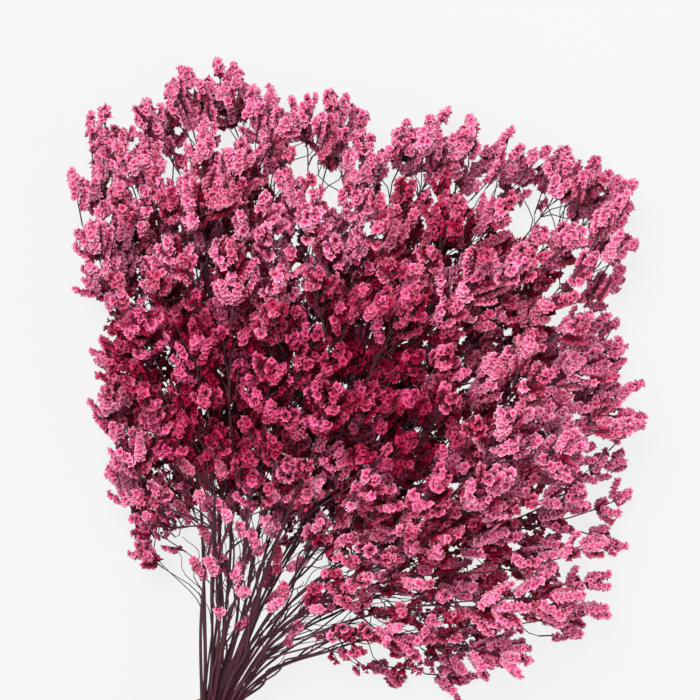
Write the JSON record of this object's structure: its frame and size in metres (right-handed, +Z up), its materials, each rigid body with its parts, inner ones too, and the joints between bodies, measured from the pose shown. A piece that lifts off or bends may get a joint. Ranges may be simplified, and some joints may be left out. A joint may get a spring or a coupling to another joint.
{
  "type": "dried crystal grass bunch",
  "caption": "Bunch of dried, dyed crystal grass lying down: thin dark stems held by a band fan out into a wide mass of fluffy pink flower heads.",
  "frame": {"origin": "middle of the bunch's footprint, on the surface it lies on", "axes": "+Z up from the surface, +Y from the cut ends of the stems towards the flowers, +X across the fan to the right"},
  "size_m": [0.331, 0.469, 0.1831],
  "materials": {
    "stem": "dry, ridged, dark purple-brown stem",
    "floret": "matt, papery dyed petals, deep crimson in the throats",
    "band": "smooth natural rubber, slightly translucent"
  },
  "bodies": {
    "root": {"stem_01": "stem", "florets_01": "floret", "stem_02": "stem", "florets_02": "floret", "stem_03": "stem", "florets_03": "floret", "stem_04": "stem", "florets_04": "floret", "stem_05": "stem", "florets_05": "floret", "stem_06": "stem", "florets_06": "floret", "stem_07": "stem", "florets_07": "floret", "stem_08": "stem", "florets_08": "floret", "stem_09": "stem", "florets_09": "floret", "stem_10": "stem", "florets_10": "floret", "stem_11": "stem", "florets_11": "floret", "stem_12": "stem", "florets_12": "floret", "stem_13": "stem", "florets_13": "floret", "stem_14": "stem", "florets_14": "floret", "stem_15": "stem", "florets_15": "floret", "stem_16": "stem", "florets_16": "floret", "stem_17": "stem", "florets_17": "floret", "stem_18": "stem", "florets_18": "floret", "stem_19": "stem", "florets_19": "floret", "stem_20": "stem", "florets_20": "floret", "stem_21": "stem", "florets_21": "floret", "stem_22": "stem", "florets_22": "floret", "stem_23": "stem", "florets_23": "floret", "stem_24": "stem", "florets_24": "floret", "stem_25": "stem", "florets_25": "floret", "stem_26": "stem", "florets_26": "floret", "stem_27": "stem", "florets_27": "floret", "stem_28": "stem", "florets_28": "floret", "elastic_band": "band"}
  },
  "joints": []
}
